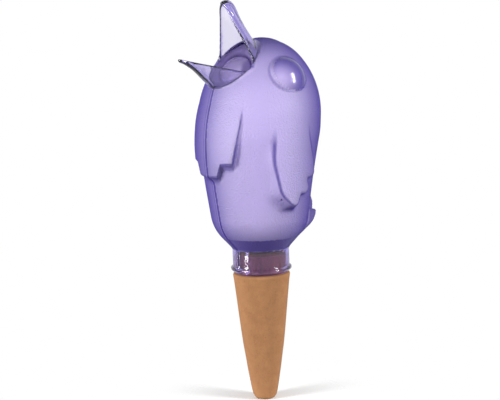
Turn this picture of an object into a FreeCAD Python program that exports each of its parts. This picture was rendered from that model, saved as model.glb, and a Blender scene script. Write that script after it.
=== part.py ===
import FreeCAD, Part
import math
import os

Vector = FreeCAD.Vector

# Millimetres and degrees. The origin is the middle of the flat tip of the clay cone, +Z runs
# up the cone's axis, the bird looks along -Y and its left side is +X.

# Clay cone
cone_length = 65.0
cone_shoulder_radius = 14.4
cone_shoulder_drop = 0.9
cone_waist_height = 34.0
cone_waist_radius = 11.0
cone_tip_radius = 6.1
cone_tip_round = 2.4
cone_floor = 11.0
cone_bore_tip_radius = 3.8
cone_bore_radius = 8.4
spigot_length = 11.4
spigot_chamfer = 0.8

# Sealant between the spigot and the neck
sealant_gap = 0.35
sealant_inset = 0.8

# Wall and weld seam of the moulded shell
wall = 1.6
seam_half_width = 0.95
seam_rise = 0.45
keel_half_width = 1.7

# Neck and its lip
lip_gap = 0.3
neck_length = 12.3
neck_radius = 14.2
lip_foot_radius = 13.3
lip_radius = 15.2
lip_chamfer = 1.7
lip_band = 1.1
lip_slope = 0.5

# Bottle: round about an axis that leans back from the top of the neck
bottle_height = 103.7
girth_radius = 30.4
bottle_lean_angle = 1.5
bottle_sink = 1.0
crown_radius = 25.7
# corners of its outline under the crown's ball: out, up and round, as shares of girth_radius,
# bottle_height and girth_radius
bottle_shares = (
    (0.770, 0.099, 0.421),
    (1.000, 0.566, 1.380),
    (1.000, 0.786, 1.447),
)

# Wings: foot above the neck, front edge ahead of the bottle's axis
wing_foot = 23.4
wing_length = 40.6
wing_front = 9.8
wing_width = 23.0
wing_foot_radius = 30.9
wing_top_radius = 30.2
wing_depth = 12.0
wing_draft_angle = 35.0
# back from the front edge and up from the foot as shares of wing_width and wing_length, the
# round as a share of wing_width, and the draft of the side that follows as a share
wing_shares = (
    (0.095, 1.108, 0.000, 1.0),
    (-0.013, 0.567, 1.300, 1.0),
    (0.096, 0.172, 0.480, 1.0),
    (0.374, -0.034, 0.080, 0.5),
    (0.530, 0.155, 0.040, 0.4),
    (0.870, 0.155, 0.140, 0.4),
    (0.757, 0.335, 0.040, 0.4),
    (1.017, 0.360, 0.120, 0.4),
    (0.990, 0.517, 0.000, 0.4),
    (0.887, 0.813, 0.000, 0.4),
    (0.830, 1.108, 0.000, 0.0),
)

# Chest bib: foot above the neck
bib_foot = 38.3
bib_length = 36.0
bib_half_width = 24.5
bib_foot_radius = 30.4
bib_middle_radius = 33.2
bib_middle_round = 100.0
bib_top_radius = 29.2
bib_depth = 10.0
bib_draft_angle = 36.0
# out from the middle, up from the foot, round and draft, as shares of bib_half_width,
# bib_length, bib_half_width and bib_draft_angle
bib_shares = (
    (-0.200, -0.010, 0.000, 1.0),
    (0.327, 0.036, 0.070, -0.5),
    (0.445, 0.225, 0.035, 1.0),
    (0.841, 0.333, 0.065, -1.0),
    (0.890, 0.440, 0.000, -1.0),
    (1.000, 0.700, 1.000, -1.0),
    (1.090, 1.222, 0.000, 0.0),
    (-0.200, 1.222, 0.000, 0.0),
)

# Tail: foot above the neck
tail_foot = 2.4
tail_length = 19.5
tail_half_width = 10.5
tail_foot_radius = 16.6
tail_bend_height = 13.6
tail_bend_radius = 28.4
tail_bend_round = 7.0
tail_top_radius = 30.2
tail_depth = 16.0
tail_draft_angle = 22.0
# out from the middle, up from the foot, round and draft, as shares of tail_half_width,
# tail_length, tail_half_width and tail_draft_angle
tail_shares = (
    (-0.400, 1.000, 0.000, 0.5),
    (0.250, 1.000, 0.190, 0.5),
    (0.400, 0.640, 0.080, 0.5),
    (0.760, 0.760, 0.190, 1.0),
    (1.000, 0.440, 0.280, 1.0),
    (0.500, -0.100, 0.000, 0.0),
    (-0.400, -0.100, 0.000, 0.0),
)

# Eyes: balls sunk in the head, height above the neck
eye_radius = 11.7
eye_side = 17.1
eye_back = 1.9
eye_height = 83.7

# Beak: two cones that turn apart from a round root, cut open between them by the gape
beak_height = 91.9
beak_forward = 13.2
beak_rise_angle = 47.6
beak_radius = 16.6
beak_root_depth = 7.0
beak_turn_angle = 37.0
upper_beak_length = 32.2
lower_beak_length = 31.0
# out from a cone's axis, along it and round, as shares of beak_radius, its length and beak_radius
upper_beak_shares = (
    (1.000, 0.000, 0.000),
    (0.545, 0.530, 0.000),
    (0.285, 1.000, 0.170),
)
lower_beak_shares = (
    (1.000, 0.000, 0.000),
    (0.316, 0.680, 0.000),
    (0.096, 1.000, 0.000),
)
gape_setback = 6.3
gape_round = 5.75
upper_gape_angle = 26.7
lower_gape_angle = 32.6

overrun = 3.0
least_side = 0.001

neck_foot = cone_length + lip_gap
neck_top = neck_foot + neck_length
crown = neck_top + bottle_height
origin = Vector(0, 0, 0)
side = Vector(1, 0, 0)
back = Vector(0, 1, 0)
up = Vector(0, 0, 1)
right_angle = 90
eye_middle = Vector(eye_side, eye_back, neck_top + eye_height)
beak_middle = Vector(0, -beak_forward, neck_top + beak_height)


def moved_out(corners, amounts):
    """Corners (x, y, round) of an anticlockwise outline whose sides move out by amounts."""
    normals = []
    for index, corner in enumerate(corners):
        after = corners[(index + 1) % len(corners)]
        run = Vector(after[0] - corner[0], after[1] - corner[1], 0).normalize()
        normals.append(Vector(run.y, -run.x, 0))
    moved = []
    for index, (x, y, radius) in enumerate(corners):
        one, two = normals[index - 1], normals[index]
        turn = one.x * two.y - one.y * two.x
        out_one, out_two = amounts[index - 1], amounts[index]
        new_x = x + (out_one * two.y - out_two * one.y) / turn
        new_y = y + (out_two * one.x - out_one * two.x) / turn
        grown = radius + math.copysign(out_one + out_two, turn * (out_one + out_two)) / 2
        moved.append((new_x, new_y, max(grown, 0) if radius else 0))
    return moved


def rounded_outline(corners):
    """Closed wire through corners (x, y, round), each rounded by an arc."""
    points = [Vector(x, y, 0) for x, y, radius in corners]
    rounds = []
    for index, (x, y, radius) in enumerate(corners):
        point = points[index]
        before = (points[index - 1] - point).normalize()
        after = (points[(index + 1) % len(points)] - point).normalize()
        half = before.getAngle(after) / 2
        reach = radius / math.tan(half)
        inwards = (before + after).normalize() if radius else origin
        crest = point + inwards * (radius / math.sin(half) - radius)
        rounds.append((point + before * reach, crest, point + after * reach))
    edges = []
    for index, (start, crest, end) in enumerate(rounds):
        if corners[index][2]:
            edges.append(Part.Arc(start, crest, end).toShape())
        following = rounds[(index + 1) % len(rounds)][0]
        if (following - end).Length > least_side:
            edges.append(Part.LineSegment(end, following).toShape())
    return Part.Wire(edges)


def turned(corners, angle):
    """Solid turned about the upright axis from an outline of (radius, height, round) corners."""
    face = Part.Face(rounded_outline(corners))
    face.Placement = FreeCAD.Placement(origin, FreeCAD.Rotation(-back, up, -side))
    return face.revolve(origin, up, angle)


def leaning(corners, grow):
    """Left half of a form turned about the leaning axis, its outer sides moved out by grow."""
    amounts = [grow] * (len(corners) - 1) + [0]
    form = turned(moved_out(corners, amounts), 180)
    form.rotate(Vector(0, 0, neck_top), side, -bottle_lean_angle)
    return form


def crown_corner(x, z):
    """Corner over the corner (x, z) whose round is a ball on the axis that ends at the crown."""
    rise = z - crown + crown_radius
    turn = math.atan2(rise, x) + math.acos(crown_radius / math.hypot(x, rise))
    return crown_radius * math.tan(math.radians(right_angle / 2) - turn / 2), crown, crown_radius


def bottle(grow):
    """Left half of the bottle."""
    foot = neck_top - bottle_sink
    corners = [(0, foot, 0), (neck_radius - bottle_sink, foot, 0)]
    for out_share, up_share, round_share in bottle_shares:
        height = neck_top + up_share * bottle_height
        corners.append((out_share * girth_radius, height, round_share * girth_radius))
    corners.append(crown_corner(corners[-1][0], corners[-1][1]))
    corners.append((0, crown, 0))
    return leaning(corners, grow)


def shares_outline(shares, across, rise, start, foot):
    """Corners of an outline and its drafts, from a table of shares."""
    corners = []
    for out_share, up_share, round_share, draft_share in shares:
        corners.append((start + out_share * across, foot + up_share * rise, round_share * abs(across)))
    return corners, [share for out, up_share, round_share, share in shares]


def drafted_block(outline, draft_angle, depth, grow, turn):
    """Block over an outline that is true at the girth; its sides lean by their drafts."""
    corners, draft_shares = outline
    rings = []
    for inwards in (depth, -2 * overrun):
        amounts = []
        for share in draft_shares:
            draft = math.radians(share * draft_angle)
            amounts.append(inwards * math.tan(draft) + grow / math.cos(draft))
        rings.append([Vector(x, y, girth_radius - inwards) for x, y, radius in moved_out(corners, amounts)])
    low, high = rings
    faces = [Part.Face(Part.makePolygon(ring + ring[:1])) for ring in (low[::-1], high)]
    for index in range(len(low)):
        quad = [low[index - 1], low[index], high[index], high[index - 1]]
        faces.append(Part.Face(Part.makePolygon(quad + quad[:1])))
    shell = Part.Shell(faces)
    shell.sewShape()
    block = Part.Solid(shell)
    rounds = moved_out(corners, [grow] * len(corners))
    for (x, y, radius), inner, outer in zip(rounds, low, high):
        if radius:
            middle = (inner + outer) / 2
            edge = min(block.Edges, key=lambda edge: (edge.CenterOfMass - middle).Length)
            block = block.makeFillet(radius, [edge])
    block.Placement = FreeCAD.Placement(origin, turn)
    return block


def wing(grow):
    """Raised wing with feather tips along its lower back edge."""
    foot = neck_top + wing_foot
    top = foot + wing_length
    low = foot - 2 * overrun
    corners = [(0, low, 0), (wing_foot_radius, low, 0), (wing_top_radius, top, 0), (0, top, 0)]
    outline = shares_outline(wing_shares, wing_width, wing_length, -wing_front, foot)
    block = drafted_block(outline, wing_draft_angle, wing_depth, grow, FreeCAD.Rotation(back, up, side))
    return leaning(corners, grow).common(block)


def bib(grow):
    """Half of the raised chest bib, whose foot has a step each side."""
    foot = neck_top + bib_foot
    top = foot + bib_length
    low = foot - 2 * overrun
    corners = [
        (0, low, 0),
        (bib_foot_radius, low, 0),
        (bib_middle_radius, (foot + top) / 2, bib_middle_round),
        (bib_top_radius, top, 0),
        (0, top, 0),
    ]
    outline = shares_outline(bib_shares, bib_half_width, bib_length, 0, foot)
    block = drafted_block(outline, bib_draft_angle, bib_depth, grow, FreeCAD.Rotation(side, up, -back))
    return leaning(corners, grow).common(block)


def tail(grow):
    """Half of the cocked tail with its feather tips upwards."""
    foot = neck_top + tail_foot
    top = foot + tail_length + overrun
    corners = [
        (0, foot, 0),
        (tail_foot_radius, foot, 0),
        (tail_bend_radius, neck_top + tail_bend_height, tail_bend_round),
        (tail_top_radius, top, 0),
        (0, top, 0),
    ]
    outline = shares_outline(tail_shares, -tail_half_width, tail_length, 0, foot)
    block = drafted_block(outline, tail_draft_angle, tail_depth, grow, FreeCAD.Rotation(-side, up, back))
    return leaning(corners, grow).common(block)


def eye(grow):
    """Ball whose cap stands out of the side of the head."""
    ball = Part.makeSphere(eye_radius + grow)
    ball.Placement = FreeCAD.Placement(eye_middle, FreeCAD.Rotation(up, 2 * right_angle))
    return ball


def mandible(shares, length, turn_angle, grow):
    """Left half of a cone on the beak's root, its axis turned upwards from the beak's."""
    corners = [(0, -beak_root_depth, 0), (beak_radius, -beak_root_depth, 0)]
    for out_share, along_share, round_share in shares:
        corners.append((out_share * beak_radius, along_share * length, round_share * beak_radius))
    corners.append((0, length, 0))
    amounts = [grow] * (len(corners) - 1) + [0]
    cone = turned(moved_out(corners, amounts), 180)
    cone.rotate(origin, side, right_angle - beak_rise_angle - turn_angle)
    cone.translate(beak_middle)
    return cone


def beside_beak(hand):
    """Block over (1) or under (-1) the beak's middle plane."""
    size = 4 * beak_radius
    block = Part.makeBox(2 * size, size, 2 * size, Vector(-size, 0, -size))
    block.rotate(origin, side, right_angle * (1 - hand))
    block.rotate(origin, side, right_angle - beak_rise_angle)
    block.translate(beak_middle)
    return block


def beak(grow):
    """Left half of the beak with its gape closed."""
    upper = mandible(upper_beak_shares, upper_beak_length, beak_turn_angle, grow)
    lower = mandible(lower_beak_shares, lower_beak_length, -beak_turn_angle, grow)
    return upper.common(beside_beak(1)).fuse(lower.common(beside_beak(-1)))


def gape():
    """Wedge between the two halves of the beak, across its whole width."""
    reach = upper_beak_length + lower_beak_length
    upper = reach * math.tan(math.radians(upper_gape_angle))
    lower = reach * math.tan(math.radians(lower_gape_angle))
    end = reach - gape_setback
    corners = [(-gape_setback, 0, gape_round), (end, upper, 0), (end, -lower, 0)]
    width = 4 * beak_radius
    block = Part.Face(rounded_outline(corners)).extrude(Vector(0, 0, width))
    block.translate(Vector(0, 0, -width / 2))
    tilt = math.radians(beak_rise_angle)
    rising = Vector(0, -math.cos(tilt), math.sin(tilt))
    across = Vector(0, math.sin(tilt), math.cos(tilt))
    turn = FreeCAD.Placement(beak_middle, FreeCAD.Rotation(rising, across, -side))
    block.Placement = turn.multiply(block.Placement)
    return block


def neck():
    """Half of the neck with the lip that covers the cone's shoulder."""
    band_foot = neck_foot + lip_chamfer
    band_top = band_foot + lip_band
    corners = [
        (0, neck_foot, 0),
        (lip_foot_radius, neck_foot, 0),
        (lip_radius, band_foot, 0),
        (lip_radius, band_top, 0),
        (neck_radius, band_top + lip_slope, 0),
        (neck_radius, neck_top + bottle_sink, 0),
        (0, neck_top + bottle_sink, 0),
    ]
    return turned(corners, 180)


def column(radius, foot, top):
    """Half of an upright cylinder."""
    return turned([(0, foot, 0), (radius, foot, 0), (radius, top, 0), (0, top, 0)], 180)


def form(grow):
    """Left half of the bird without its neck, with its skin moved outwards by grow."""
    return bottle(grow).fuse([wing(grow), bib(grow), tail(grow), eye(grow), beak(grow)])


def middle_slab(half_width):
    """Slab beside the parting plane, around the whole bird."""
    size = 4 * girth_radius
    return Part.makeBox(half_width, size, crown + size, Vector(0, -size / 2, 0))


def half_shell():
    """Left half of the moulded shell with its raised weld seam."""
    skin = form(0).fuse(neck())
    seam_foot = neck_foot + lip_chamfer
    collar = column(neck_radius + seam_rise, seam_foot, neck_top + bottle_sink)
    seam = form(seam_rise).fuse(collar).common(middle_slab(seam_half_width))
    keel = beak(seam_rise).common(middle_slab(keel_half_width))
    bore = column(neck_radius - wall, neck_foot - overrun, neck_top + bottle_sink + overrun)
    hollow = form(-wall).fuse(bore)
    return skin.fuse([seam, keel]).cut([hollow, gape()])


def clay_cone():
    """Clay cone with a spigot on top and a blind bore."""
    top = cone_length + spigot_length
    spigot_radius = neck_radius - wall - sealant_gap
    corners = [
        (0, 0, 0),
        (cone_tip_radius, 0, cone_tip_round),
        (cone_waist_radius, cone_waist_height, 0),
        (cone_shoulder_radius, cone_length - cone_shoulder_drop, 0),
        (cone_shoulder_radius - cone_shoulder_drop, cone_length, 0),
        (spigot_radius, cone_length, 0),
        (spigot_radius, top - spigot_chamfer, 0),
        (spigot_radius - spigot_chamfer, top, 0),
        (cone_bore_radius, top, 0),
        (cone_bore_tip_radius, cone_floor, 0),
        (0, cone_floor, 0),
    ]
    return turned(corners, 360)


def neck_sealant():
    """Ring of sealant that fills the gap between the spigot and the neck."""
    inner = neck_radius - wall - sealant_gap
    outer = neck_radius - wall
    foot = neck_foot + sealant_inset
    top = cone_length + spigot_length - spigot_chamfer - sealant_inset
    return turned([(inner, foot, 0), (outer, foot, 0), (outer, top, 0), (inner, top, 0)], 360)


if __name__ == "__main__":
    os.makedirs("parts", exist_ok=True)
    left = half_shell()
    parts = {
        "shell_left": left,
        "shell_right": left.mirror(origin, side),
        "clay_cone": clay_cone(),
        "neck_sealant": neck_sealant(),
    }
    for name, shape in parts.items():
        shape.exportStep(f"parts/{name}.step")
        print(name, len(shape.Solids), shape.isValid(), round(shape.Volume, 1))
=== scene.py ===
import math

import bmesh
import bpy
import numpy as np
from bpy.props import FloatProperty, FloatVectorProperty, IntProperty, PointerProperty
from mathutils import Matrix, Vector


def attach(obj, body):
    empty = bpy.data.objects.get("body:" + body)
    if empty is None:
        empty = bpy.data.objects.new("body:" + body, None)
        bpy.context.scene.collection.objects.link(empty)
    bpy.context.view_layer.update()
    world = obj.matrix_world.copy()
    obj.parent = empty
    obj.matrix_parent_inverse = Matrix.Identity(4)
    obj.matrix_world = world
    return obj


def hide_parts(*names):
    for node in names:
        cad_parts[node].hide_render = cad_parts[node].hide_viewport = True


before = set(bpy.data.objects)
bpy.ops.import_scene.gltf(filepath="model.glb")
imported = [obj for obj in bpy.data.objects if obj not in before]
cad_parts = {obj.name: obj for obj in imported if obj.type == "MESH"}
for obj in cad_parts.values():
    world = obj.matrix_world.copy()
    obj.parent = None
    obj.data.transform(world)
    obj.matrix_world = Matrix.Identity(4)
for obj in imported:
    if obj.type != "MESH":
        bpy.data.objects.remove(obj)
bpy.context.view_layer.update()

bl_info = {
    "name": "Bird watering globe",
    "version": (1, 0, 0),
    "blender": (4, 5, 0),
    "location": "View3D > Sidebar > Watering globe",
    "description": "Builds the looks of a bird-shaped watering globe on its packed frame",
    "category": "Object",
}

MM = 0.001

# Places and sizes of the bird are in millimetres, in the frame's own axes. Its two halves mirror
# each other. A row of an outline is a height, or a distance along an axis, and a radius.
NECK_FOOT = 65.3
NECK_TOP = 77.6
NECK_RADIUS = 14.2
NECK_OUTLINE = ((65.3, 13.3), (65.9, 14.1), (67.0, 15.2), (68.1, 15.2), (68.7, 14.2), (90.0, 14.2))
NECK_REACH = 3.0  # how far the neck goes on up into the body
BORE_REACH = 4.0  # the same for its bore
BODY_FOOT = 76.6
SHADED_FOOT_TOP = 84.3  # below it the body's foot, and less strongly the neck, have painted shade: a deeper tint
HEAD_FOOT = 158.0
CROWN = 181.3
CROWN_ROUND = 25.7
CROWN_HEIGHTS = (178.6, 179.8, 180.6, 181.05, CROWN)
GIRTH = 30.4
BODY_CORNERS = (  # radius, height, round
    (13.2, BODY_FOOT, 0),
    (23.4, 87.9, 20),
    (GIRTH, 136.3, 42),
    (GIRTH, 159.1, 44),
    (12.136, CROWN, CROWN_ROUND),
    (0, CROWN, 0),
)
LEAN_START = 105.0
LEAN = 3.22
EYE = (17.3, 2.7, 161.3)
EYE_RADIUS = 11.9

# The beak's halves are turned about axes that rise forwards from its root, by angles in degrees.
# The gape is a wedge about a third axis between them, with a round corner.
BEAK = (0, -13.2, 169.5)
BEAK_RISE = 47.6
UPPER_RISE = 84.1
LOWER_RISE = 10.0
UPPER_RADII = (
    (-20, 16.6), (-8, 16.6), (-2, 16.6), (0, 16.5), (2, 15.8), (5, 14.3), (9.5, 12.0), (17, 8.3),
    (23, 5.6), (26.5, 4.4), (29, 3.2), (30.4, 1.8), (30.9, 0.4),
)
LOWER_RADII = (
    (-20, 16.6), (-8, 16.6), (-2, 16.6), (0, 16.5), (2, 15.9), (5, 14.8), (8.8, 13.1), (11.5, 11.4),
    (14.5, 9.45), (21, 5.25), (25, 3.35), (29, 2.0), (30.4, 1.5), (31.0, 0.3),
)
GAPE_SETBACK = 6.3
GAPE_ROUND = 5.75
GAPE_UPPER = 26.7
GAPE_LOWER = 32.6

# Raised areas: corners across and up, each with its round and with the draft in degrees of the
# side that follows, the turned outline of the face, and the depth that the drafts are given for
WING_CORNERS = (
    (-7.0, 150.0, 0, 34),
    (-9.6, 124.0, 29.9, 33),
    (-7.2, 108.0, 11, 33),
    (-2.2, 102.0, 4.6, 28),
    (1.4, 101.6, 2.0, 17.5),
    (3.6, 107.3, 0.9, 14),
    (10.2, 107.3, 3.2, 14),
    (7.6, 114.6, 0.9, 14),
    (13.6, 115.6, 2.8, 14),
    (13.0, 122.0, 0, 14),
    (10.6, 134.0, 0, 14),
    (9.3, 150.0, 0, 0),
)
WING_FACE = ((90.0, 30.8), (118.0, 30.76), (130.0, 30.7), (142.0, 30.4), (150.0, 29.9))
WING_DEPTH = 12
BIB_CORNERS = (
    (-4.9, 115.5, 0, 36),
    (8.0, 117.2, 1.7, -18),
    (10.9, 124.0, 0.9, 36),
    (20.6, 127.9, 1.6, -36),
    (21.8, 131.7, 0, -36),
    (24.5, 141.1, 24.5, -36),
    (26.7, 159.9, 0, 0),
    (-4.9, 159.9, 0, 0),
)
BIB_FACE = (
    (108.0, 30.2), (116.0, 30.6), (123.0, 31.35), (130.0, 31.85), (137.0, 31.8), (144.0, 31.2),
    (151.0, 29.75), (160.0, 27.2),
)
BIB_DEPTH = 10
BIB_FEATHERS = 133.0  # top of the bib's stepped edge
TAIL_CORNERS = (
    (4.2, 99.5, 0, 11),
    (-2.6, 99.5, 2.0, 11),
    (-4.2, 92.5, 0.8, 11),
    (-8.0, 94.8, 2.0, 8),
    (-10.5, 88.6, 2.9, 8),
    (-5.3, 78.0, 0, 0),
    (4.2, 78.0, 0, 0),
)
TAIL_FACE = (
    (79.0, 15.6), (82.0, 18.9), (86.0, 23.6), (90.0, 27.9), (92.5, 29.6), (97.0, 30.9), (103.0, 31.9),
)
TAIL_DEPTH = 16
TAIL_TOP = 101.0
TAIL_FRONT = 12.0
RELIEF_REACH = 7.0  # distance from the body's skin within which a raised area is looked for
RELIEF_MARGIN = 3.0  # the same past its outline
RELIEF_FULL = 1.5  # height of a raised area at which its foot has its full round
SIDE_SHARE = 0.9  # share of the distance to a drafted side that lies across the side
LINE_WIDTH = 0.6

# Rounds where two forms meet or an edge ends
EYE_BLEND = 0.7
BEAK_BLEND = 0.9
NECK_BLEND = 0.8
SEAM_BLEND = 0.4
SEAM_EDGE = 0.25
GAPE_EDGE = 0.9
RIM_EDGE = 0.3
BEAK_CHANGE = 0.8  # width of the change from the lower to the upper half of the beak

# The seam starts above the lip, and is higher and wider on the beak, as shares of itself
SEAM_FOOT = NECK_FOOT + 3.2
KEEL_START = 3.0
KEEL_RISE = 1.2
KEEL_WIDTH = 1.9

# Strength of the painted shade: a deeper tint that darkens the places where the plastic is thick or folded,
# the seam, the edges and sides of raised areas, and the eyes' folds and backs
PAINTED_SHADE_TINT = {
    "foot": 0.88,
    "neck": 0.45,
    "tail": 0.85,
    "seam": 0.4,
    "seam_side": 0.95,
    "relief_edge": 0.8,
    "relief_side": 0.6,
    "eye_fold": 0.5,
    "eye_back": 0.75,
}
EYE_BACK = 6.2  # distance behind the eye's middle where its painted shade starts
INSIDE_TINT = 0.7  # share of the rims' tint that the inner skin has below the head
TAIL_START, TAIL_SPAN = 0.5, 1.2  # height over the body where the tail's painted shade starts and grows
SEAM_LINE = 0.45  # half the width of the line of painted shade along the seam's side
BEAK_SHOW, EYE_SHOW = 1.2, 0.6  # height over the body where beak and eye have their own finish
# bend of the surface at which the painted shade in creases starts, and the span over which it grows
CREASE_START, CREASE_SPAN = 0.015, 0.07
CLEAR_CREASE = 0.8  # share of the painted shade in creases that the polished areas have

CONE_OUTLINE = (  # radius and height of the clay cone, from its tip up and down its bore
    (0.0, 0.0), (3.4, 0.0), (4.6, 0.35), (5.4, 1.1), (5.95, 2.3), (6.4, 3.9), (6.95, 6.8),
    (7.45, 9.9), (8.45, 16.1), (9.35, 22.3), (10.3, 28.5), (11.05, 34.8), (12.7, 50.3),
    (13.95, 61.5), (14.3, 63.9), (14.25, 64.5), (13.8, 64.9), (13.2, 65.0), (12.3, 65.0),
    (12.2, 65.2), (12.2, 75.4), (11.9, 76.1), (11.4, 76.35), (8.8, 76.35), (8.4, 76.0),
    (8.3, 74.0), (6.1, 43.0), (3.9, 12.5), (3.0, 11.2), (0.0, 11.0),
)
WELD = 0.00002  # distance in metres within which its corners are joined

# Mesh of the shell: the cells on seam and lip, places worked on at a time, the step that slopes are
# taken over, the least slope and the longest move, and how far a corner moves to its neighbours
FINE_CELL = 0.45
BATCH = 20000
SLOPE_STEP = 0.02
LEAST_SLOPE = 0.2
LONGEST_MOVE = 0.35
RELAXING = 0.6
RELAX_ROUNDS = 6

# Materials: scales of grain and mottle, strength and distance of bumps, and the clay's pores
GRAIN = {"plastic": (1400.0, 90.0), "clay": (1900.0, 230.0), "sealant": (700.0, 200.0)}
BUMP = {"plastic": (1.0, 0.0004), "clay": (0.6, 0.0003), "pores": (0.4, 0.0002), "sealant": (0.3, 0.0003)}
MOTTLE_SPAN = (0.32, 0.68)
PORE_SCALE = 900.0
PORE_SPAN = (0.08, 0.3)
PORE_SHADE = 0.82
CLAY_ROUGHNESS = (0.95, 0.82)
CLAY_GLOSS = 0.25
SEALANT_ROUGHNESS = 0.6
SEALANT_SHADE = 0.85

# Stage, in metres and degrees
SOFTBOXES = {
    "key_softbox": ((-0.1, -0.8, 0.25), (0.24, 0.7)),
    "fill_softbox": ((0.75, 0.42, 0.35), (0.22, 0.6)),
}
LAMP_TARGET = (0, 0, 0.11)
FLOOR_RADIUS = 0.32
FLOOR_SIDES = 96
FLOOR_FADE = (0.008, 0.06)
FLOOR_COLOUR = (0.9, 0.9, 0.9)
CAMERA_TARGET = (0, 0, 0.1)
CAMERA_DISTANCE = 0.82
CAMERA_TURN, CAMERA_RISE, CAMERA_ROLL = 55, 9.135, 1.77
CAMERA_LENS = 118.7
CAMERA_SENSOR = 36
CAMERA_SHIFT = (-0.0187, 0.00506)


def smooth_min(one, two, blend):
    """Lesser of two distances, with a round of about blend in the corner between them."""
    blend = np.maximum(blend, 1e-6)
    share = np.clip(0.5 + 0.5 * (two - one) / blend, 0, 1)
    return two + (one - two) * share - blend * share * (1 - share)


def smooth_max(one, two, blend):
    """Greater of two distances, with a rounded edge between them."""
    return -smooth_min(-one, -two, blend)


def smooth_step(value):
    """Soft change from 0 to 1, held outside that span."""
    value = np.clip(value, 0, 1)
    return value * value * (3 - 2 * value)


class SmoothLine:
    """Smooth curve through points, with its slope, that runs on straight past its ends."""

    def __init__(self, places, values):
        self.places = np.array(places, float)
        self.values = np.array(values, float)
        step = np.diff(self.places)
        size = len(self.places)
        rows = np.eye(size)
        right = np.zeros(size)
        for i in range(1, size - 1):
            rows[i, i - 1 : i + 2] = step[i - 1], 2 * (step[i - 1] + step[i]), step[i]
            rise = np.diff(self.values)[i - 1 : i + 1] / step[i - 1 : i + 1]
            right[i] = 6 * (rise[1] - rise[0])
        self.bends = np.linalg.solve(rows, right)

    def __call__(self, place):
        held = np.clip(place, self.places[0], self.places[-1])
        i = np.clip(np.searchsorted(self.places, held) - 1, 0, len(self.places) - 2)
        step = self.places[i + 1] - self.places[i]
        low, high = (self.places[i + 1] - held) / step, (held - self.places[i]) / step
        one, two = self.bends[i], self.bends[i + 1]
        value = low * self.values[i] + high * self.values[i + 1]
        value += ((low**3 - low) * one + (high**3 - high) * two) * step**2 / 6
        slope = (self.values[i + 1] - self.values[i]) / step
        slope += ((3 * high**2 - 1) * two - (3 * low**2 - 1) * one) * step / 6
        return value + slope * (place - held), slope


def round_corners(corners, closed, steps=5):
    """Points along an outline of (x, y, round) corners whose rounds are arcs."""
    points = []
    for i, (x, y, radius) in enumerate(corners):
        here = Vector((x, y))
        at_end = not closed and i in (0, len(corners) - 1)
        if at_end or not radius:
            points.append(here)
            continue
        before = (Vector(corners[i - 1][:2]) - here).normalized()
        after = (Vector(corners[(i + 1) % len(corners)][:2]) - here).normalized()
        half = before.angle(after) / 2
        middle = here + (before + after).normalized() * (radius / math.sin(half))
        start = here + before * (radius / math.tan(half)) - middle
        end = here + after * (radius / math.tan(half)) - middle
        sweep = start.angle_signed(end)
        for k in range(steps + 1):
            points.append(middle + Matrix.Rotation(-sweep * k / steps, 2) @ start)
    return np.array([tuple(p) for p in points])


def grown_outline(corners, inwards):
    """Outline whose sides have moved out by their drafts, at a depth under the girth."""
    count = len(corners)
    runs = [Vector(corners[(i + 1) % count][:2]) - Vector(corners[i][:2]) for i in range(count)]
    normals = [Vector((run.y, -run.x)).normalized() for run in runs]
    moved = []
    for i, (x, y, radius, draft) in enumerate(corners):
        one, two = normals[i - 1], normals[i]
        turn = one.x * two.y - one.y * two.x
        out_one = inwards * math.tan(math.radians(corners[i - 1][3]))
        out_two = inwards * math.tan(math.radians(draft))
        new_x = x + (out_one * two.y - out_two * one.y) / turn
        new_y = y + (out_two * one.x - out_one * two.x) / turn
        moved.append((new_x, new_y, radius))
    return round_corners(moved, True)


def outline_distance(across, up, depth, low, high, span):
    """Distance to an outline that changes with depth, negative inside it."""
    found = np.empty(len(across))
    for start in range(0, len(across), BATCH):
        part = slice(start, start + BATCH)
        share = (depth[part] / span)[:, None]
        x = low[:, 0] + share * (high - low)[:, 0]
        y = low[:, 1] + share * (high - low)[:, 1]
        next_x, next_y = np.roll(x, -1, 1), np.roll(y, -1, 1)
        side_x, side_y = next_x - x, next_y - y
        off_x, off_y = across[part, None] - x, up[part, None] - y
        along = np.clip((off_x * side_x + off_y * side_y) / (side_x**2 + side_y**2 + 1e-12), 0, 1)
        reach = (off_x - along * side_x) ** 2 + (off_y - along * side_y) ** 2
        over = (y <= up[part, None]) != (next_y <= up[part, None])
        turn = side_x * off_y - side_y * off_x
        crossed = over & ((turn > 0) == (next_y > y))
        inside = crossed.sum(1) % 2 == 1
        nearest = np.sqrt(reach.min(1))
        found[part] = np.where(inside, -nearest, nearest)
    return found


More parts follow.
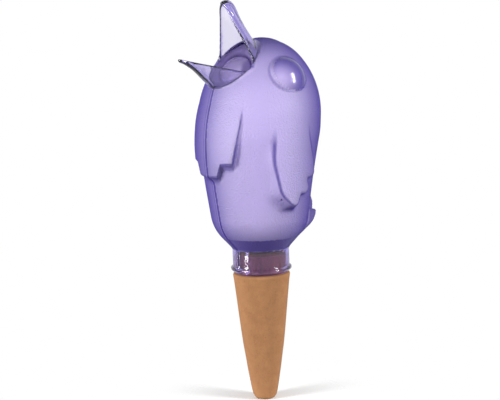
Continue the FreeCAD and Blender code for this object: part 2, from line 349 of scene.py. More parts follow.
class Relief:
    """Raised area of the bird: a turned face bounded by drafted sides."""

    def __init__(self, corners, face, turn, depth):
        self.low = grown_outline(corners, 0)
        self.high = grown_outline(corners, depth)
        self.depth = depth
        self.face = SmoothLine(*zip(*face))
        self.turn = turn
        reach = np.vstack((self.low, self.high))
        self.least, self.most = reach.min(0) - RELIEF_MARGIN, reach.max(0) + RELIEF_MARGIN

    def parts(self, body, out, x, y, z):
        """Which places lie near the relief, and there the distances to its face and to its sides."""
        across, towards = {"side": (y, x), "front": (x, -y), "back": (-x, y)}[self.turn]
        near = (np.abs(body) < RELIEF_REACH) & (towards > 0)
        near &= (across > self.least[0]) & (across < self.most[0])
        near &= (z > self.least[1]) & (z < self.most[1])
        across, towards, up, out = across[near], towards[near], z[near], out[near]
        radius, slope = self.face(up)
        top = (out - radius) / np.sqrt(1 + slope**2)
        side = outline_distance(across, up, GIRTH - towards, self.low, self.high, self.depth)
        return near, top, SIDE_SHARE * side

    def add(self, form, body, out, x, y, z, edge, foot):
        """Form with the relief added to it."""
        near, top, side = self.parts(body, out, x, y, z)
        relief = np.clip((body[near] - top) / RELIEF_FULL, 0, 1)
        form = form.copy()
        form[near] = smooth_min(form[near], smooth_max(top, side, edge), foot * smooth_step(relief))
        return form

    def lines(self, body, out, x, y, z):
        """Masks of painted shade: 1 along the edges of the face, and 1 on the sides, where the relief is
        raised.
        """
        near, top, side = self.parts(body, out, x, y, z)
        edges, sides = np.zeros(len(body)), np.zeros(len(body))
        raised = np.clip((body[near] - top) / 0.8, 0, 1)
        edge = 1.5 - np.maximum(np.abs(side), np.abs(top)) / LINE_WIDTH
        edges[near] = np.clip(edge, 0, 1) * raised
        on_side = (np.abs(side) < LINE_WIDTH) * (top < LINE_WIDTH / 2) * (body[near] > 0.2)
        sides[near] = on_side * raised
        return edges, sides


class Bird:
    """The bird's form as a signed distance in millimetres, negative in the plastic."""

    def __init__(self, sizes):
        self.wall = sizes.wall / MM
        self.seam_rise = sizes.seam_rise / MM
        self.seam_half_width = sizes.seam_width / MM / 2
        self.edge = sizes.edge_round / MM
        self.foot = sizes.foot_round / MM
        outline = round_corners(BODY_CORNERS, False, 60)
        heights = np.concatenate((np.arange(BODY_FOOT, 178, 2.6), CROWN_HEIGHTS))
        radii = np.interp(heights, outline[:, 1], outline[:, 0])
        top = slice(-len(CROWN_HEIGHTS), None)
        radii[top] = np.sqrt(CROWN_ROUND**2 - (heights[top] - CROWN + CROWN_ROUND) ** 2)
        # Lines through squares of radii keep the ends of a turned form round
        self.body_line = SmoothLine(heights, radii**2)
        self.upper_line = SmoothLine([a for a, r in UPPER_RADII], [r * r for a, r in UPPER_RADII])
        self.lower_line = SmoothLine([a for a, r in LOWER_RADII], [r * r for a, r in LOWER_RADII])
        places = np.arange(NECK_FOOT - 2, 92, 0.1)
        radii = np.interp(places, *zip(*NECK_OUTLINE))
        self.neck_line = (places, np.convolve(np.pad(radii, 3, "edge"), np.ones(7) / 7, "valid"))
        self.wing = Relief(WING_CORNERS, WING_FACE, "side", WING_DEPTH)
        self.bib = Relief(BIB_CORNERS, BIB_FACE, "front", BIB_DEPTH)
        self.tail = Relief(TAIL_CORNERS, TAIL_FACE, "back", TAIL_DEPTH)

    @staticmethod
    def turned(out, along, line):
        """Distance to a form turned about an axis, from the distances off and along that axis."""
        square, slope = line(along)
        return (out**2 - square) / np.sqrt(4 * out**2 + slope**2 + 1e-9)

    @staticmethod
    def leaning_out(x, y, z):
        """Distance from the body's axis, which leans back towards the crown."""
        return np.hypot(x, y - LEAN * smooth_step((z - LEAN_START) / (CROWN - LEAN_START)))

    @staticmethod
    def eye(x, y, z):
        """Distance to the ball of the eye."""
        return np.sqrt((x - EYE[0]) ** 2 + (y - EYE[1]) ** 2 + (z - EYE[2]) ** 2) - EYE_RADIUS

    @staticmethod
    def beak_axes(y, z, rise):
        """Distances along and across an axis that rises forwards from the beak's root."""
        rise = math.radians(rise)
        ahead, over = BEAK[1] - y, z - BEAK[2]
        along = ahead * math.cos(rise) + over * math.sin(rise)
        return along, over * math.cos(rise) - ahead * math.sin(rise)

    def beak(self, x, y, z):
        """Distance to the closed form of both halves, and the place along the axis between them."""
        along, across = self.beak_axes(y, z, UPPER_RISE)
        upper = self.turned(np.hypot(x, across), along, self.upper_line)
        along, across = self.beak_axes(y, z, LOWER_RISE)
        lower = self.turned(np.hypot(x, across), along, self.lower_line)
        along, across = self.beak_axes(y, z, BEAK_RISE)
        share = smooth_step(0.5 + across / BEAK_CHANGE)
        return lower + (upper - lower) * share, along

    def gape(self, y, z):
        """Distance to the open wedge between the halves of the beak."""
        along, across = self.beak_axes(y, z, BEAK_RISE)
        along = along + GAPE_SETBACK
        upper, lower = math.radians(GAPE_UPPER), math.radians(GAPE_LOWER)
        over = across * math.cos(upper) - along * math.sin(upper)
        under = -across * math.cos(lower) - along * math.sin(lower)
        half, middle = (upper + lower) / 2, (upper - lower) / 2
        reach = GAPE_ROUND / math.sin(half)
        a, c = along - reach * math.cos(middle), across - reach * math.sin(middle)
        behind = a * math.cos(upper) + c * math.sin(upper) < 0
        behind &= a * math.cos(lower) - c * math.sin(lower) < 0
        return np.where(behind, np.hypot(a, c) - GAPE_ROUND, np.maximum(over, under))

    def form(self, x, y, z):
        """Closed outer form without neck and seam, its beak and eye, and the place along the beak."""
        out = self.leaning_out(x, y, z)
        body = np.maximum(self.turned(out, z, self.body_line), BODY_FOOT - z)
        form = body
        for relief in (self.wing, self.bib, self.tail):
            form = relief.add(form, body, out, x, y, z, self.edge, self.foot)
        eye = self.eye(x, y, z)
        form = smooth_min(form, eye, EYE_BLEND)
        beak, along = self.beak(x, y, z)
        return smooth_min(form, beak, BEAK_BLEND), beak, along, eye

    def __call__(self, points):
        x, y, z = np.abs(points[:, 0]), points[:, 1], points[:, 2]
        form, beak, along, _ = self.form(x, y, z)
        out = np.hypot(x, y)
        above = z - NECK_TOP - NECK_REACH
        neck = np.maximum((out - np.interp(z, *self.neck_line)) * 0.9, above)
        skin = smooth_min(form, neck, NECK_BLEND)
        collar = np.maximum(out - NECK_RADIUS, above)
        seam = np.minimum(form, collar) - self.seam_rise
        seam = smooth_max(seam, x - self.seam_half_width, SEAM_EDGE)
        seam = np.maximum(seam, SEAM_FOOT - z)
        keel = beak - self.seam_rise * KEEL_RISE
        keel = smooth_max(keel, x - KEEL_WIDTH * self.seam_half_width, SEAM_EDGE)
        keel = np.maximum(keel, KEEL_START - along)
        skin = smooth_min(smooth_min(skin, seam, SEAM_BLEND), keel, SEAM_BLEND)
        bore = np.maximum(out - NECK_RADIUS + self.wall, z - NECK_TOP - BORE_REACH)
        hollow = smooth_min(form + self.wall, bore, NECK_BLEND)
        plastic = smooth_max(skin, -hollow, RIM_EDGE)
        plastic = smooth_max(plastic, -self.gape(y, z), GAPE_EDGE)
        return smooth_max(plastic, NECK_FOOT - z, RIM_EDGE)

    def finish(self, points):
        """0 where the mould is frosted, 1 where it is polished, on beak and neck, and 2 on the eyes."""
        x, y, z = np.abs(points[:, 0]), points[:, 1], points[:, 2]
        _, beak, along, eye = self.form(x, y, z)
        body = self.turned(np.hypot(x, y), z, self.body_line)
        on_beak = (np.abs(beak + self.wall / 2) < self.wall + 1) & ((body > BEAK_SHOW) | (along > 0))
        on_eye = (body > eye + EYE_SHOW) & (np.abs(eye + self.wall / 2) < self.wall)
        return np.where(on_beak | (z < NECK_TOP + 0.2), 1, np.where(on_eye, 2, 0)).astype(np.int32)

    def tint(self, points):
        """Strength of the painted shade: a deeper tint where the plastic is thick or folded."""
        x, y, z = np.abs(points[:, 0]), points[:, 1], points[:, 2]
        out = self.leaning_out(x, y, z)
        body = self.turned(out, z, self.body_line)
        on_tail = (z < TAIL_TOP) * (y > TAIL_FRONT) * smooth_step((body - TAIL_START) / TAIL_SPAN)
        seam_side = np.abs(x - self.seam_half_width) < SEAM_LINE
        # painted shade on the foot and neck, the tail, the seam and the seam's sides
        found = [
            np.where(z > NECK_TOP, PAINTED_SHADE_TINT["foot"], PAINTED_SHADE_TINT["neck"]) * (z < SHADED_FOOT_TOP),
            PAINTED_SHADE_TINT["tail"] * on_tail,
            PAINTED_SHADE_TINT["seam_side"] * seam_side * (body > 0),
            PAINTED_SHADE_TINT["seam"] * (x < self.seam_half_width) * (body > 0),
        ]
        # painted shade along the raised areas' edges, and on the sides at the wing's back and the bib's
        # lower steps
        for relief, shaded_side in ((self.wing, y > 0), (self.bib, z < BIB_FEATHERS)):
            edges, sides = relief.lines(body, out, x, y, z)
            found += [PAINTED_SHADE_TINT["relief_edge"] * edges, PAINTED_SHADE_TINT["relief_side"] * sides * shaded_side]
        # painted shade in the fold round the eye and on the eye's back
        eye, behind = self.eye(x, y, z), y - EYE[1]
        fold = np.clip(1.5 - np.abs(body - eye) / 0.5, 0, 1) * (np.abs(eye) < 1.2)
        found.append(fold * (PAINTED_SHADE_TINT["eye_fold"] + (1 - PAINTED_SHADE_TINT["eye_fold"]) * smooth_step(behind / 6)))
        on_eye = (np.abs(eye) < 0.5) * (body > eye + 0.5)
        found.append(PAINTED_SHADE_TINT["eye_back"] * smooth_step((behind - EYE_BACK) / 1.5) * on_eye)
        return np.maximum.reduce(found)

    def outer(self, points):
        """Share of the rims' tint: 1 on the outer skin, less inside, and none inside the head."""
        form = self.form(np.abs(points[:, 0]), points[:, 1], points[:, 2])[0]
        inside = np.where(points[:, 2] > HEAD_FOOT, 0.0, INSIDE_TINT)
        return np.where(form > -self.wall / 2, 1.0, inside)


def net_of(distance, lines):
    """Corners and four-sided faces of the surface where a distance is zero, by cells of a grid."""
    xs, ys, zs = lines
    half = xs[xs >= 0]
    grid = np.stack(np.meshgrid(half, ys, zs, indexing="ij"), -1).reshape(-1, 3)
    values = distance(grid).reshape(len(half), len(ys), len(zs))
    values = np.concatenate((values[:0:-1], values), 0)
    values[values == 0] = 1e-9
    inside = values < 0
    shape = np.array(values.shape) - 1
    corners = [(i, j, k) for i in (0, 1) for j in (0, 1) for k in (0, 1)]
    total = np.zeros(shape, int)
    for i, j, k in corners:
        total += inside[i : shape[0] + i, j : shape[1] + j, k : shape[2] + k]
    cells = np.argwhere((total > 0) & (total < 8))
    number = np.full(shape, -1)
    number[tuple(cells.T)] = np.arange(len(cells))
    places, crossings = np.zeros((len(cells), 3)), np.zeros(len(cells))
    for corner in corners:
        for axis in range(3):
            if corner[axis]:
                continue
            start = cells + corner
            end = start.copy()
            end[:, axis] += 1
            one, two = values[tuple(start.T)], values[tuple(end.T)]
            cut = (one < 0) != (two < 0)
            share = np.where(cut, one / np.where(cut, one - two, 1), 0)[:, None]
            from_place = np.stack([line[start[:, n]] for n, line in enumerate(lines)], -1)
            to_place = np.stack([line[end[:, n]] for n, line in enumerate(lines)], -1)
            places[cut] += (from_place + (to_place - from_place) * share)[cut]
            crossings += cut
    places /= crossings[:, None]
    faces = []
    for axis in range(3):
        one, two = (axis + 1) % 3, (axis + 2) % 3
        step = np.eye(3, dtype=int)
        first = inside[tuple(slice(0, -1) if n == axis else slice(None) for n in range(3))]
        last = inside[tuple(slice(1, None) if n == axis else slice(None) for n in range(3))]
        edges = np.argwhere(first != last)
        edges = edges[(edges[:, one] > 0) & (edges[:, two] > 0)]
        edges = edges[(edges[:, one] < shape[one]) & (edges[:, two] < shape[two])]
        ring = [edges - step[one] - step[two], edges - step[two], edges, edges - step[one]]
        quads = np.stack([number[tuple(r.T)] for r in ring], -1)
        flip = ~first[tuple(edges.T)]
        quads[flip] = quads[flip][:, ::-1]
        faces.append(quads)
    return places, np.concatenate(faces)


def settled(distance, places, rounds=4):
    """Places moved onto the surface where the distance is zero."""
    for _ in range(rounds):
        value = distance(places)
        slope = np.empty_like(places)
        for axis in range(3):
            off = np.zeros(3)
            off[axis] = SLOPE_STEP
            slope[:, axis] = (distance(places + off) - distance(places - off)) / (2 * SLOPE_STEP)
        size = np.maximum((slope**2).sum(1), LEAST_SLOPE)
        move = -(value / size)[:, None] * slope
        length = np.linalg.norm(move, axis=1, keepdims=True)
        places = places + move * np.minimum(1, LONGEST_MOVE / np.maximum(length, 1e-9))
    return places


def relaxed(places, faces):
    """Places moved towards the middle of their neighbours."""
    start, end = faces.ravel(), np.roll(faces, -1, 1).ravel()
    total, count = np.zeros_like(places), np.bincount(start, minlength=len(places))
    for axis in range(3):
        total[:, axis] = np.bincount(start, places[end, axis], len(places))
    return (1 - RELAXING) * places + RELAXING * total / count[:, None]


def graded(start, *spans):
    """Grid line from the ends and steps of its spans."""
    parts = []
    for end, step in spans:
        parts.append(np.linspace(start, end, max(1, round((end - start) / step)), endpoint=False))
        start = end
    return np.append(np.concatenate(parts), start)


def new_piece(name, places, faces):
    """New smooth object from places in metres and faces."""
    mesh = bpy.data.meshes.new(name)
    mesh.from_pydata([tuple(p) for p in places], [], [tuple(map(int, f)) for f in faces])
    mesh.shade_smooth()
    piece = bpy.data.objects.new(name, mesh)
    bpy.context.scene.collection.objects.link(piece)
    return piece


def fill(tree, node, inputs):
    """Gives inputs of a node their sockets or plain values."""
    for label, value in inputs.items():
        if isinstance(value, bpy.types.NodeSocket):
            tree.links.new(value, node.inputs[label])
        else:
            node.inputs[label].default_value = value


def add_node(tree, kind, inputs=None, **settings):
    """New node with its settings, whose inputs take sockets or plain values."""
    node = tree.nodes.new(kind)
    for name, value in settings.items():
        setattr(node, name, value)
    fill(tree, node, inputs or {})
    return node


def combined(tree, operation, one, two):
    """Output of a math node."""
    return add_node(tree, "ShaderNodeMath", {0: one, 1: two}, operation=operation).outputs["Value"]


def scaled(tree, vector, size):
    """Output of a vector or colour times a number."""
    inputs = {0: vector, "Scale": size}
    return add_node(tree, "ShaderNodeVectorMath", inputs, operation="SCALE").outputs["Vector"]


def mapped(tree, value, span, result, kind="LINEAR"):
    """Output of a value whose span is mapped to a result and held at its ends."""
    labels = ("Value", "From Min", "From Max", "To Min", "To Max")
    inputs = dict(zip(labels, (value, *span, *result)))
    return add_node(tree, "ShaderNodeMapRange", inputs, interpolation_type=kind).outputs["Result"]


def mixed_colour(tree, share, one, two):
    """Output of a colour between two."""
    inputs = {"A": (*one, 1), "B": (*two, 1), "Factor": share}
    return add_node(tree, "ShaderNodeMix", inputs, data_type="RGBA").outputs["Result"]


def named_value(tree, name):
    """Output of one of the mesh's own values."""
    return add_node(tree, "ShaderNodeAttribute", attribute_name=name).outputs["Fac"]


def object_place(tree):
    """Output of the place on the object, in metres."""
    return add_node(tree, "ShaderNodeTexCoord").outputs["Object"]


def bump_from(tree, height, kind, normal=None):
    """Output of a bump of one of the kinds above, on top of another one where that is given."""
    inputs = dict(zip(("Strength", "Distance", "Height"), (*BUMP[kind], height)))
    if normal is not None:
        inputs["Normal"] = normal
    return add_node(tree, "ShaderNodeBump", inputs).outputs["Normal"]


def grain_group():
    """Fine grain on a surface: a height for bump and a soft mottle between 0 and 1."""
    if "surface_grain" in bpy.data.node_groups:
        return bpy.data.node_groups["surface_grain"]
    group = bpy.data.node_groups.new("surface_grain", "ShaderNodeTree")
    for label, value in (("Grain Scale", 1500.0), ("Mottle Scale", 120.0)):
        socket = group.interface.new_socket(label, in_out="INPUT", socket_type="NodeSocketFloat")
        socket.default_value = value
    for label in ("Height", "Mottle"):
        group.interface.new_socket(label, in_out="OUTPUT", socket_type="NodeSocketFloat")
    start, end = group.nodes.new("NodeGroupInput"), group.nodes.new("NodeGroupOutput")
    place = object_place(group)
    found = []
    for label, detail, roughness in (("Grain Scale", 2, 0.5), ("Mottle Scale", 5, 0.65)):
        inputs = {"Vector": place, "Scale": start.outputs[label], "Detail": detail, "Roughness": roughness}
        found.append(add_node(group, "ShaderNodeTexNoise", inputs).outputs["Fac"])
    fill(group, end, {"Height": found[0], "Mottle": mapped(group, found[1], MOTTLE_SPAN, (0, 1))})
    return group


def placed_grain(tree, kind):
    """Outputs of the grain group for a kind of material: its height and its mottle."""
    inputs = dict(zip(("Grain Scale", "Mottle Scale"), GRAIN[kind]))
    node = add_node(tree, "ShaderNodeGroup", inputs, node_tree=grain_group())
    return node.outputs["Height"], node.outputs["Mottle"]


def new_material(name):
    """New material, with its node tree and its shader."""
    material = bpy.data.materials.new(name)
    material.use_nodes = True
    return material, material.node_tree, material.node_tree.nodes["Principled BSDF"]


def plastic_material(finish, kind):
    """Violet plastic: frosted, glossy on the eyes, or polished clear, and deeper in tint at its rims."""
    material, tree, wall = new_material(kind + "_plastic")
    rim = tree.nodes.new("ShaderNodeBsdfPrincipled")
    if kind == "polished":
        passed = finish.clear_transmission, finish.clear_transmission
        colours = finish.clear_colour, finish.clear_rim_and_shade_colour
    else:
        passed = finish.transmission, finish.rim_transmission
        colours = finish.frost_colour, finish.rim_and_shade_colour
    gloss, roughness, reach, painted_shade = {
        "frosted": ((finish.gloss, finish.rim_gloss), finish.frost, finish.rim, 1),
        "glossy": ((finish.eye_gloss, finish.eye_rim_gloss), finish.eye_frost, finish.eye_rim, 1),
        "polished": (
            (finish.clear_gloss, finish.clear_rim_gloss), finish.clear_frost, finish.clear_rim, CLEAR_CREASE
        ),
    }[kind]
    for i, shader in enumerate((wall, rim)):
        fill(tree, shader, {
            "IOR": finish.refraction,
            "Transmission Weight": passed[i],
            "Base Color": (*colours[i], 1),
            "Specular IOR Level": gloss[i],
            "Roughness": roughness,
        })
    if kind == "frosted":
        normal = bump_from(tree, placed_grain(tree, "plastic")[0], "plastic")
        for shader in (wall, rim):
            fill(tree, shader, {"Normal": normal})
    facing = add_node(tree, "ShaderNodeLayerWeight", {"Blend": reach}).outputs["Facing"]
    skin = combined(tree, "MULTIPLY", facing, named_value(tree, "outer"))
    # painted shade: the mesh's own strength of shade in creases, edges and thick places darkens the wall
    # towards the rim shader
    lines = combined(tree, "MULTIPLY", named_value(tree, "painted_shade"), finish.painted_shade * painted_shade)
    deeper = combined(tree, "MAXIMUM", skin, lines)
    inputs = {0: deeper, 1: wall.outputs["BSDF"], 2: rim.outputs["BSDF"]}
    both = add_node(tree, "ShaderNodeMixShader", inputs).outputs["Shader"]
    inputs = {"Color": (*finish.absorption_colour, 1), "Density": finish.absorption}
    absorb = add_node(tree, "ShaderNodeVolumeAbsorption", inputs).outputs["Volume"]
    fill(tree, tree.nodes["Material Output"], {"Surface": both, "Volume": absorb})
    return material


def clay_material(finish):
    """Porous unglazed clay with fine pores and a soft mottle."""
    material, tree, shader = new_material("porous_clay")
    height, mottle = placed_grain(tree, "clay")
    inputs = {"Vector": object_place(tree), "Scale": PORE_SCALE}
    pores = add_node(tree, "ShaderNodeTexVoronoi", inputs).outputs["Distance"]
    pit = mapped(tree, pores, PORE_SPAN, (0, 1))
    shade = mapped(tree, pit, (0, 1), (PORE_SHADE, 1))
    fill(tree, shader, {
        "Base Color": scaled(tree, mixed_colour(tree, mottle, finish.dark, finish.light), shade),
        "Roughness": mapped(tree, mottle, (0, 1), CLAY_ROUGHNESS),
        "Specular IOR Level": CLAY_GLOSS,
        "Normal": bump_from(tree, pit, "pores", bump_from(tree, height, "clay")),
    })
    return material


def sealant_material(finish):
    """Cured clear sealant over wet clay, slightly uneven."""
    material, tree, shader = new_material("cured_sealant")
    height, mottle = placed_grain(tree, "sealant")
    darker = [SEALANT_SHADE * part for part in finish.sealant]
    fill(tree, shader, {
        "Base Color": mixed_colour(tree, mottle, darker, finish.sealant),
        "Roughness": SEALANT_ROUGHNESS,
        "Normal": bump_from(tree, height, "sealant"),
    })
    return material


def clay_tree(material):
    """Geometry node tree that turns the cone's outline about its axis and roughens the skin.

    A flat grid is bent: its x gives the angle and its y the place along the outline.
    """
    tree = bpy.data.node_groups.new("turned_clay", "GeometryNodeTree")
    face = tree.interface
    face.new_socket("Geometry", in_out="INPUT", socket_type="NodeSocketGeometry")
    for label, kind, value in (
        ("Segments", "NodeSocketInt", 129),
        ("Rings", "NodeSocketInt", 200),
        ("Unevenness", "NodeSocketFloat", 0.00012),
        ("Unevenness Scale", "NodeSocketFloat", 90.0),
        ("Seed", "NodeSocketFloat", 3.0),
    ):
        face.new_socket(label, in_out="INPUT", socket_type=kind).default_value = value
    face.new_socket("Geometry", in_out="OUTPUT", socket_type="NodeSocketGeometry")
    given, end = tree.nodes.new("NodeGroupInput").outputs, tree.nodes.new("NodeGroupOutput")
    inputs = {"Size X": 1.0, "Size Y": 1.0, "Vertices X": given["Segments"], "Vertices Y": given["Rings"]}
    sheet = add_node(tree, "GeometryNodeMeshGrid", inputs)
    place = add_node(tree, "GeometryNodeInputPosition").outputs["Position"]
    split = add_node(tree, "ShaderNodeSeparateXYZ", {"Vector": place}).outputs
    inputs = {"Curves": given["Geometry"], "Factor": combined(tree, "ADD", split["Y"], 0.5)}
    sample = add_node(tree, "GeometryNodeSampleCurve", inputs, use_all_curves=False)
    turn = combined(tree, "MULTIPLY", split["X"], 2 * math.pi)
    inputs = {"Vector": sample.outputs["Position"], "Angle": turn}
    rotate = add_node(tree, "ShaderNodeVectorRotate", inputs, rotation_type="Z_AXIS")
    inputs = {"Geometry": sheet.outputs["Mesh"], "Position": rotate.outputs["Vector"]}
    shape = add_node(tree, "GeometryNodeSetPosition", inputs)
    inputs = {"Scale": given["Unevenness Scale"], "W": given["Seed"], "Detail": 3}
    noise = add_node(tree, "ShaderNodeTexNoise", inputs, noise_dimensions="4D")
    # The noise is kept mostly below 0, so that the skin stays inside the outline
    middle = combined(tree, "SUBTRACT", noise.outputs["Fac"], 0.62)
    amount = combined(tree, "MULTIPLY", middle, given["Unevenness"])
    normal = add_node(tree, "GeometryNodeInputNormal").outputs["Normal"]
    last = shape
    for kind, inputs in (
        ("GeometryNodeMergeByDistance", {"Distance": WELD}),
        ("GeometryNodeSetPosition", {"Offset": scaled(tree, normal, amount)}),
        ("GeometryNodeSetShadeSmooth", {}),
        ("GeometryNodeRealizeInstances", {}),
        ("GeometryNodeSetMaterial", {"Material": material}),
    ):
        last = add_node(tree, kind, {"Geometry": last.outputs["Geometry"], **inputs})
    fill(tree, end, {"Geometry": last.outputs["Geometry"]})
    return tree


def outward(mesh):
    """Welds a closed mesh and turns its faces so that they point outwards."""
    work = bmesh.new()
    work.from_mesh(mesh)
    bmesh.ops.remove_doubles(work, verts=work.verts, dist=WELD)
    bmesh.ops.recalc_face_normals(work, faces=work.faces)
    work.to_mesh(mesh)
    work.free()


def length(name, description, default):
    return FloatProperty(name=name, description=description, default=default, unit="LENGTH")


def factor(name, description, default):
    return FloatProperty(name=name, description=description, default=default, min=0, max=1, subtype="FACTOR")


def colour(name, description, default):
    return FloatVectorProperty(name=name, description=description, default=default, subtype="COLOR")


class ShellSizes(bpy.types.PropertyGroup):
    """Sizes of the moulded shell."""

    wall: length("Wall", "Thickness of the plastic", 0.0016)
    seam_rise: length("Seam rise", "Height of the weld seam", 0.00045)
    seam_width: length("Seam width", "Width of the weld seam", 0.0019)
    edge_round: length("Edge round", "Round on the relief's edges", 0.0004)
    foot_round: length("Foot round", "Round at the relief's foot", 0.0016)
    cell: length("Cell", "Size of a face of the mesh", 0.0008)


class ShellFinish(bpy.types.PropertyGroup):
    """Finish of the moulded shell: frosted walls, glossy eyes, and a polished beak and neck."""

    frost: factor("Frost", "Roughness of the frosted areas", 0.36)
    eye_frost: factor("Eye roughness", "Roughness of the eyes", 0.14)
    clear_frost: factor("Polished roughness", "Roughness of the polished areas", 0.07)
    refraction: FloatProperty(
        name="Refraction", description="Refractive index of the plastic", default=1.49
    )
    transmission: factor("Transmission", "Light let through where frosted", 0.7)
    rim_transmission: factor("Rim transmission", "Light let through at frosted rims", 0.3)
    clear_transmission: factor("Polished transmission", "Light let through where polished", 1.0)
    rim: factor("Rim", "Reach of the rims' tint where frosted", 0.68)
    eye_rim: factor("Eye rim", "Reach of the rims' tint on the eyes", 0.87)
    clear_rim: factor("Polished rim", "Reach of the rims' tint where polished", 0.57)
    gloss: factor("Gloss", "Gloss of the frosted areas", 0.25)
    rim_gloss: factor("Rim gloss", "Gloss of the frosted rims", 0.0)
    eye_gloss: factor("Eye gloss", "Gloss of the eyes", 0.5)
    eye_rim_gloss: factor("Eye rim gloss", "Gloss of the eyes' rims", 0.4)
    clear_gloss: factor("Polished gloss", "Gloss of the polished areas", 0.3)
    clear_rim_gloss: factor("Polished rim gloss", "Gloss of the polished rims", 0.15)
    # depth of the painted shade in creases and thick parts
    painted_shade: factor("Crease", "Depth of the tint in creases and thick parts", 0.95)
    absorption: FloatProperty(
        name="Absorption", description="Density of the tint, per metre", default=100.0
    )
    absorption_colour: colour("Tint", "Colour that the plastic lets through", (0.15, 0.02, 0.74))
    frost_colour: colour("Frosted colour", "Colour of the frosted skin", (0.79, 0.69, 1.0))
    # the rims' colours are also the colours of the painted shade
    rim_and_shade_colour: colour("Rim colour", "Colour of the frosted rims", (0.022, 0.006, 0.20))
    clear_colour: colour("Polished colour", "Colour of the polished skin", (0.98, 0.97, 1.0))
    clear_rim_and_shade_colour: colour("Polished rim colour", "Colour of the polished rims", (0.13, 0.075, 0.55))


class ClayFinish(bpy.types.PropertyGroup):
    """Finish of the clay cone and of the sealant ring."""

    light: colour("Light clay", "Lighter tone of the clay", (0.28, 0.134, 0.056))
    dark: colour("Dark clay", "Darker tone of the clay", (0.246, 0.115, 0.05))
    sealant: colour("Sealant", "Colour of the sealant", (0.30, 0.09, 0.08))
    segments: IntProperty(
        name="Segments", description="Columns of the grid round the cone", default=129, min=24
    )


class StageSettings(bpy.types.PropertyGroup):
    """Light of the stage."""

    world: FloatProperty(name="World", description="Strength of the even light", default=0.38)
    key: FloatProperty(
        name="Key light", description="Power of the main softbox", default=12.5, unit="POWER"
    )
    fill: FloatProperty(
        name="Fill light", description="Power of the second softbox", default=12.0, unit="POWER"
    )


class GLOBE_OT_shell(bpy.types.Operator):
    """Builds the bird's moulded plastic shell"""

    bl_idname = "globe.shell"
    bl_label = "Bird shell"

    def execute(self, context):
        sizes = context.scene.globe_shell
        bird = Bird(sizes)
        cell = sizes.cell / MM
        # The cells are finer on the seam, across the beak, at the lip and in the head
        ring = graded(0, (2.25, FINE_CELL), (33, cell))
        xs = np.concatenate((-ring[:0:-1], ring))
        ys = graded(-46.1, (-14, 0.55 * cell), (35, 1.15 * cell))
        zs = graded(63.9, (70, FINE_CELL), (163, 1.15 * cell), (204, 0.58 * cell))
        places, faces = net_of(bird, (xs, ys, zs))
        if not len(faces):
            raise RuntimeError("the bird shell came out without its faces")
        places = settled(bird, places, 2)
        for _ in range(RELAX_ROUNDS):
            places = settled(bird, relaxed(places, faces), 1)
        places = settled(bird, places, 2)
        piece = new_piece("bird_shell", places * MM, faces)
        for kind in ("frosted", "polished", "glossy"):
            piece.data.materials.append(plastic_material(context.scene.globe_finish, kind))
        # the painted shade by corner, and the share of the rims' tint
        values = {"painted_shade": self.tint(bird, places, faces), "outer": bird.outer(places)}
        for label, value in values.items():
            attribute = piece.data.attributes.new(label, "FLOAT", "POINT")
            attribute.data.foreach_set("value", value.astype(np.float32))
        kinds = bird.finish(places[faces].mean(1))
        piece.data.polygons.foreach_set("material_index", kinds)
        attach(piece, "root")
        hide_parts("shell_left", "shell_right")
        return {"FINISHED"}

    def tint(self, bird, places, faces):
        """Strength of the painted shade by corner: where the surface bends sharply, or where the bird paints
        it.
        """
        bend = np.linalg.norm(relaxed(places, faces) - places, axis=1)
        bend = np.clip((bend - CREASE_START) / CREASE_SPAN, 0, 1)
        bend = relaxed(np.stack((bend,) * 3, -1), faces)[:, 0]
        return np.maximum(bend, bird.tint(places))


class GLOBE_OT_clay(bpy.types.Operator):
    """Builds the porous clay cone"""

    bl_idname = "globe.clay"
    bl_label = "Clay cone"

    def execute(self, context):
        finish = context.scene.globe_clay
        curve = bpy.data.curves.new("cone_outline", "CURVE")
        curve.dimensions = "3D"
        line = curve.splines.new("POLY")
        line.points.add(len(CONE_OUTLINE) - 1)
        for point, (out, up) in zip(line.points, CONE_OUTLINE):
            point.co = (out * MM, 0, up * MM, 1)
        outline = bpy.data.objects.new("cone_outline", curve)
        context.scene.collection.objects.link(outline)
        modifier = outline.modifiers.new("turned_clay", "NODES")
        modifier.node_group = clay_tree(clay_material(finish))
        for item in modifier.node_group.interface.items_tree:
            if item.item_type == "SOCKET" and item.in_out == "INPUT" and item.name == "Segments":
                modifier[item.identifier] = finish.segments
        evaluated = outline.evaluated_get(context.evaluated_depsgraph_get())
        mesh = bpy.data.meshes.new_from_object(evaluated)
        bpy.data.objects.remove(outline)
        if not len(mesh.polygons):
            raise RuntimeError("the clay cone came out without its faces")
        outward(mesh)
        mesh.name = "clay_spike"
        piece = bpy.data.objects.new("clay_spike", mesh)
        context.scene.collection.objects.link(piece)
        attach(piece, "root")
        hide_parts("clay_cone")
        return {"FINISHED"}


class GLOBE_OT_sealant(bpy.types.Operator):
    """Finishes the ring of sealant in the neck"""

    bl_idname = "globe.sealant"
    bl_label = "Sealant"

    def execute(self, context):
        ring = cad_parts["neck_sealant"]
        ring.data.materials.clear()
        ring.data.materials.append(sealant_material(context.scene.globe_clay))
        return {"FINISHED"}


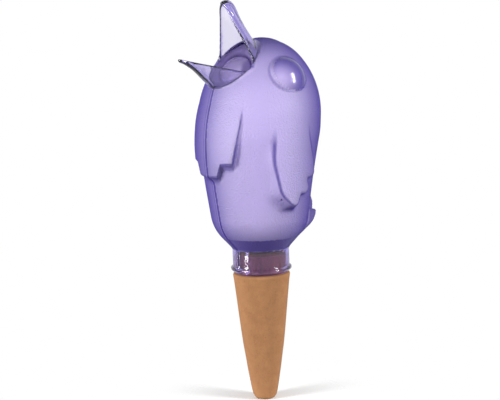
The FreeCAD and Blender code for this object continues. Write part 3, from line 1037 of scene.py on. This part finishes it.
class GLOBE_OT_stage(bpy.types.Operator):
    """Sets up the floor, the lights and the camera"""

    bl_idname = "globe.stage"
    bl_label = "Stage"

    def execute(self, context):
        scene, settings = context.scene, context.scene.globe_stage
        scene.view_settings.view_transform = "Standard"
        self.world(scene, settings.world)
        self.floor(scene)
        for name, power in (("key_softbox", settings.key), ("fill_softbox", settings.fill)):
            self.lamp(scene, name, power)
        self.camera(scene)
        return {"FINISHED"}

    def world(self, scene, strength):
        """Even light of a given strength that camera, glass and gloss see as plain white."""
        world = bpy.data.worlds.new("studio")
        world.use_nodes = True
        scene.world = world
        tree = world.node_tree
        path = add_node(tree, "ShaderNodeLightPath").outputs
        seen = path["Is Camera Ray"]
        for label in ("Is Transmission Ray", "Is Glossy Ray"):
            seen = combined(tree, "MAXIMUM", seen, path[label])
        light = mapped(tree, seen, (0, 1), (strength, 1))
        fill(tree, tree.nodes["Background"], {"Color": (1, 1, 1, 1), "Strength": light})

    def floor(self, scene):
        """Pale disc that fades out, so that only the object's shadow is left of it."""
        material, tree, shader = new_material("pale_floor")
        far = add_node(tree, "ShaderNodeVectorMath", {0: object_place(tree)}, operation="LENGTH")
        fill(tree, shader, {
            "Base Color": (*FLOOR_COLOUR, 1),
            "Roughness": 1.0,
            "Specular IOR Level": 0.0,
            "Alpha": mapped(tree, far.outputs["Value"], FLOOR_FADE, (1, 0), "SMOOTHSTEP"),
        })
        turns = [2 * math.pi * k / FLOOR_SIDES for k in range(FLOOR_SIDES)]
        ring = [(FLOOR_RADIUS * math.cos(turn), FLOOR_RADIUS * math.sin(turn), 0) for turn in turns]
        mesh = bpy.data.meshes.new("floor")
        mesh.from_pydata(ring, [], [list(range(FLOOR_SIDES))])
        mesh.materials.append(material)
        floor = bpy.data.objects.new("floor", mesh)
        scene.collection.objects.link(floor)

    def lamp(self, scene, name, power):
        """Softbox that faces the object."""
        place, size = SOFTBOXES[name]
        light = bpy.data.lights.new(name, "AREA")
        light.shape = "RECTANGLE"
        light.size, light.size_y = size
        light.energy = power
        lamp = bpy.data.objects.new(name, light)
        lamp.location = place
        aim = Vector(LAMP_TARGET) - Vector(place)
        lamp.rotation_euler = aim.to_track_quat("-Z", "Y").to_euler()
        scene.collection.objects.link(lamp)

    def camera(self, scene):
        """Camera that looks at the object from the photo's side."""
        turn, rise = math.radians(CAMERA_TURN), math.radians(CAMERA_RISE)
        roll = math.radians(CAMERA_ROLL)
        level = math.cos(rise)
        away = Vector((math.sin(turn) * level, -math.cos(turn) * level, math.sin(rise)))
        flat = Vector((math.cos(turn), math.sin(turn), 0))
        over = away.cross(flat)
        right = math.cos(roll) * flat - math.sin(roll) * over
        above = math.sin(roll) * flat + math.cos(roll) * over
        data = bpy.data.cameras.new("camera")
        data.lens = CAMERA_LENS
        data.sensor_width = CAMERA_SENSOR
        data.shift_x, data.shift_y = CAMERA_SHIFT
        data.clip_start, data.clip_end = 0.01, 10
        camera = bpy.data.objects.new("camera", data)
        place = Vector(CAMERA_TARGET) + away * CAMERA_DISTANCE
        turned = Matrix((right, above, away)).transposed().to_4x4()
        camera.matrix_world = Matrix.Translation(place) @ turned
        scene.collection.objects.link(camera)
        scene.camera = camera


class GLOBE_PT_panel(bpy.types.Panel):
    """Lists the pieces of the watering globe"""

    bl_idname = "GLOBE_PT_panel"
    bl_label = "Watering globe"
    bl_space_type = "VIEW_3D"
    bl_region_type = "UI"
    bl_category = "Watering globe"

    def draw(self, context):
        for name, group in GROUPS.items():
            box = self.layout.box()
            for label in group.__annotations__:
                box.prop(getattr(context.scene, name), label)
        for operator in OPERATORS:
            self.layout.operator(operator.bl_idname)


GROUPS = {
    "globe_shell": ShellSizes,
    "globe_finish": ShellFinish,
    "globe_clay": ClayFinish,
    "globe_stage": StageSettings,
}
OPERATORS = (GLOBE_OT_shell, GLOBE_OT_clay, GLOBE_OT_sealant, GLOBE_OT_stage)


def register():
    for name, group in GROUPS.items():
        bpy.utils.register_class(group)
        setattr(bpy.types.Scene, name, PointerProperty(type=group))
    for operator in OPERATORS:
        bpy.utils.register_class(operator)
    bpy.utils.register_class(GLOBE_PT_panel)


def unregister():
    bpy.utils.unregister_class(GLOBE_PT_panel)
    for operator in reversed(OPERATORS):
        bpy.utils.unregister_class(operator)
    for name, group in reversed(GROUPS.items()):
        delattr(bpy.types.Scene, name)
        bpy.utils.unregister_class(group)


def main():
    register()
    bpy.ops.globe.shell()
    bpy.ops.globe.clay()
    bpy.ops.globe.sealant()
    bpy.ops.globe.stage()


if __name__ == "__main__":
    main()
